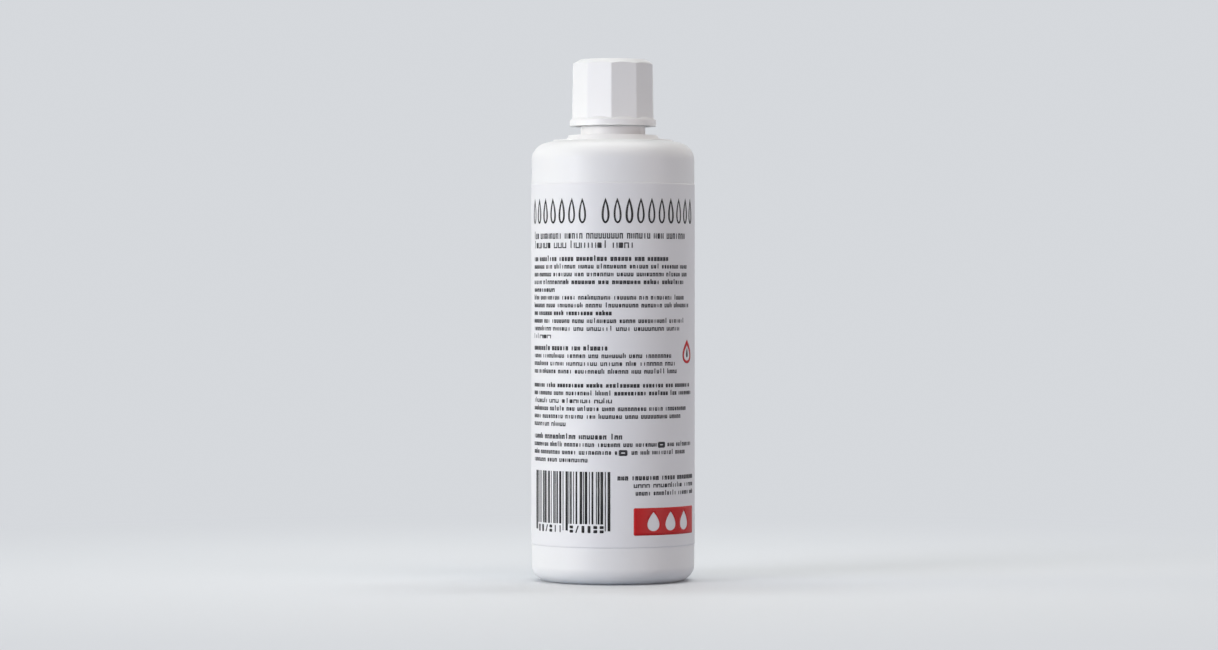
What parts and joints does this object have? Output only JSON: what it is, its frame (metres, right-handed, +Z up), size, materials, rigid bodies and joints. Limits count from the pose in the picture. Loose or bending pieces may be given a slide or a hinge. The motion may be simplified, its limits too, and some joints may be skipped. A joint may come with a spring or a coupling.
{
  "type": "descaler bottle",
  "caption": "Slim white cylindrical squeeze bottle of liquid descaler with a faceted screw cap, bevelled collar and wrap-round label.",
  "frame": {"origin": "centre of the standing ring under the base, on the surface that the bottle stands on", "axes": "+Z up along the bottle's axis; the printed panel faces -Y, with +X to its right"},
  "size_m": [0.0418, 0.0417, 0.1328],
  "materials": {
    "bottle_plastic": "satin, faintly pebbled blow-moulded polyethylene",
    "cap_plastic": "semi-gloss injection-moulded polypropylene",
    "liner_foam": "matt closed-cell foam",
    "label_film": "smooth satin film",
    "ink_black": "thin satin ink",
    "ink_grey": "thin satin ink",
    "ink_red": "thin satin ink",
    "liquid": "clear watery liquid"
  },
  "bodies": {
    "bottle": {"bottle": "bottle_plastic", "label": "label_film", "print_title": "ink_black", "print_text": "ink_grey", "print_bars": "ink_black", "print_red": "ink_red", "descaler_liquid": "liquid"},
    "liner": {"cap_liner": "liner_foam"},
    "cap": {"cap": "cap_plastic"}
  },
  "joints": [
    {"name": "cap_lift", "type": "slide", "parent": "bottle", "child": "liner", "axis": [0, 0, 1], "range_m": [0, 0.018]},
    {"name": "cap_turn", "type": "hinge", "parent": "liner", "child": "cap", "pos_m": [0, 0, 0.1243], "axis": [0, 0, 1], "range_deg": [0, 2160]}
  ],
  "couplings": [
    {"joint": "cap_lift", "follows": "cap_turn", "m_per_rad": 0.00047746}
  ]
}
